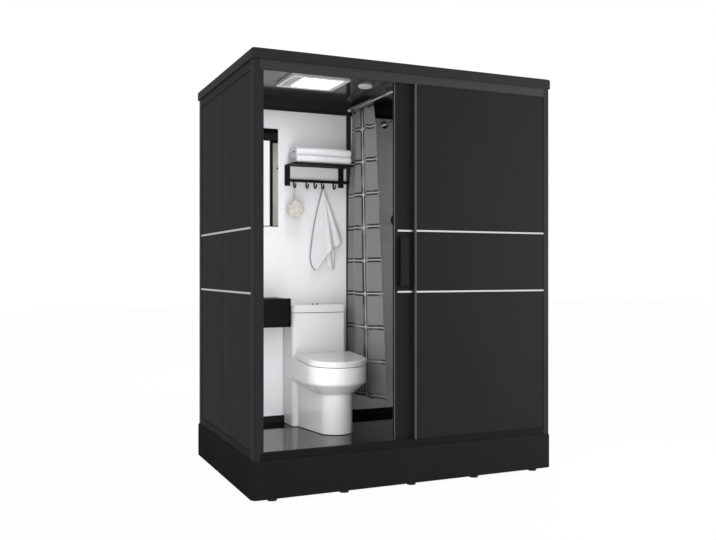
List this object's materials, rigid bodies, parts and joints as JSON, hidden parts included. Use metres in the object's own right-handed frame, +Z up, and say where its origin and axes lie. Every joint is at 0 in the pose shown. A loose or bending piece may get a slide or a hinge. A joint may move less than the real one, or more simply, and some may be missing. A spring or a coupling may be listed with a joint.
{
  "type": "outdoor shower and toilet cabin",
  "caption": "Free-standing black cabin with a sliding front door, holding a toilet, wash basin, mirror, towel rack, curtain and shower on one moulded base.",
  "frame": {"origin": "on the ground under the middle of the base", "axes": "+Z up, +X to the right seen from the door side, +Y towards the rear wall"},
  "size_m": [1.75, 1.15, 2.24],
  "materials": {
    "base_moulding": "moulded black acrylic-faced glass fibre, satin outside and glossy on the floor",
    "foot_rubber": "matt black",
    "steel_bright": "polished",
    "frame_paint": "fine satin black powder coat on aluminium",
    "panel_paint": "matt black sheet faced panel",
    "trim_silver": "satin anodised",
    "lining_white": "white faced wall board",
    "ceiling_dark": "glossy dark grey",
    "black_metal": "black powder coat",
    "zinc_steel": "zinc plated",
    "roller_plastic": "nylon",
    "sanitary_white": "white glaze",
    "seat_plastic": "white moulded seat",
    "basin_black": "black moulded basin",
    "mirror_glass": "silvered glass with a bevelled edge",
    "towel_white": "white terry",
    "puff_mesh": "light grey-beige netting",
    "ring_plastic": "white plastic",
    "curtain_fabric": "white cloth with a dark line grid",
    "unit_white": "white moulding",
    "diffuser": "opal panel"
  },
  "bodies": {
    "root": {"base_skirt": "base_moulding", "base_tray": "base_moulding", "basin_tap": "steel_bright", "basin_waste": "steel_bright", "bath_puff": "puff_mesh", "bottom_rails": "frame_paint", "ceiling_diffuser": "diffuser", "ceiling_panel": "ceiling_dark", "ceiling_unit": "unit_white", "curtain_rail": "steel_bright", "door_jamb": "frame_paint", "downlight": "unit_white", "drain_grate": "steel_bright", "fixed_front_panel": "panel_paint", "fixed_front_stile": "trim_silver", "floor_joists": "zinc_steel", "folded_towels": "towel_white", "front_header": "frame_paint", "front_posts": "frame_paint", "front_sill": "frame_paint", "front_strips": "trim_silver", "hanging_towel": "towel_white", "hook_rail": "black_metal", "left_lining": "lining_white", "left_wall_panels": "panel_paint", "levelling_feet": "foot_rubber", "mirror": "mirror_glass", "mixer_body": "black_metal", "puff_cord": "puff_mesh", "rear_linings": "lining_white", "rear_mullion": "frame_paint", "rear_posts": "frame_paint", "rear_wall_panels": "panel_paint", "right_lining": "lining_white", "right_wall_panels": "panel_paint", "roof_cap": "frame_paint", "shower_arm": "steel_bright", "side_joint_profiles": "frame_paint", "tank_lid": "sanitary_white", "toilet_body": "sanitary_white", "toilet_hinge": "steel_bright", "top_rails": "frame_paint", "towel_rack": "black_metal", "wall_strips": "trim_silver", "wash_basin": "basin_black"},
    "door": {"door_frame": "frame_paint", "door_panels": "panel_paint", "door_strips": "trim_silver", "door_handle": "black_metal", "door_hangers": "zinc_steel"},
    "lead_roller": {"door_roller_lead": "roller_plastic"},
    "tail_roller": {"door_roller_tail": "roller_plastic"},
    "lid": {"toilet_lid": "seat_plastic"},
    "seat": {"toilet_seat": "seat_plastic"},
    "flush": {"flush_button": "steel_bright"},
    "tap_handle": {"tap_lever": "steel_bright"},
    "mixer_handle": {"mixer_lever": "black_metal"},
    "head": {"rain_head": "steel_bright"},
    "curtain": {"curtain_rings": "ring_plastic", "shower_curtain": "curtain_fabric"}
  },
  "joints": [
    {"name": "door_slide", "type": "slide", "parent": "root", "child": "door", "axis": [-1, 0, 0], "range_m": [0, 0.72]},
    {"name": "lead_roller_spin", "type": "hinge", "parent": "door", "child": "lead_roller", "pos_m": [0.044, -0.5205, 2.1243], "axis": [0, 1, 0], "continuous": true},
    {"name": "tail_roller_spin", "type": "hinge", "parent": "door", "child": "tail_roller", "pos_m": [0.634, -0.5205, 2.1243], "axis": [0, 1, 0], "continuous": true},
    {"name": "toilet_lid_hinge", "type": "hinge", "parent": "root", "child": "lid", "pos_m": [-0.175, 0.27141, 0.60203], "axis": [-1, 0, 0], "range_deg": [0, 98]},
    {"name": "toilet_seat_hinge", "type": "hinge", "parent": "root", "child": "seat", "pos_m": [-0.175, 0.27141, 0.60203], "axis": [-1, 0, 0], "range_deg": [0, 95]},
    {"name": "flush_press", "type": "slide", "parent": "root", "child": "flush", "axis": [0, 0, -1], "range_m": [0, 0.005], "stiffness_N_per_m": 400},
    {"name": "tap_turn", "type": "hinge", "parent": "root", "child": "tap_handle", "pos_m": [-0.59, 0.487, 1.045], "axis": [0, 0, 1], "range_deg": [-45, 45]},
    {"name": "mixer_turn", "type": "hinge", "parent": "root", "child": "mixer_handle", "pos_m": [0.455, 0.47, 1.455], "axis": [0, 1, 0], "range_deg": [-60, 60]},
    {"name": "head_tilt", "type": "hinge", "parent": "root", "child": "head", "pos_m": [0.355, 0.145, 2.001], "axis": [1, 0, 0], "range_deg": [-12, 12]},
    {"name": "curtain_slide", "type": "slide", "parent": "root", "child": "curtain", "axis": [0, -1, 0], "range_m": [0, 0.5]}
  ],
  "couplings": [
    {"joint": "lead_roller_spin", "follows": "door_slide", "rad_per_m": -142.86},
    {"joint": "tail_roller_spin", "follows": "door_slide", "rad_per_m": -142.86},
    {"joint": "toilet_seat_hinge", "follows": "toilet_lid_hinge", "ratio": 0.96}
  ]
}
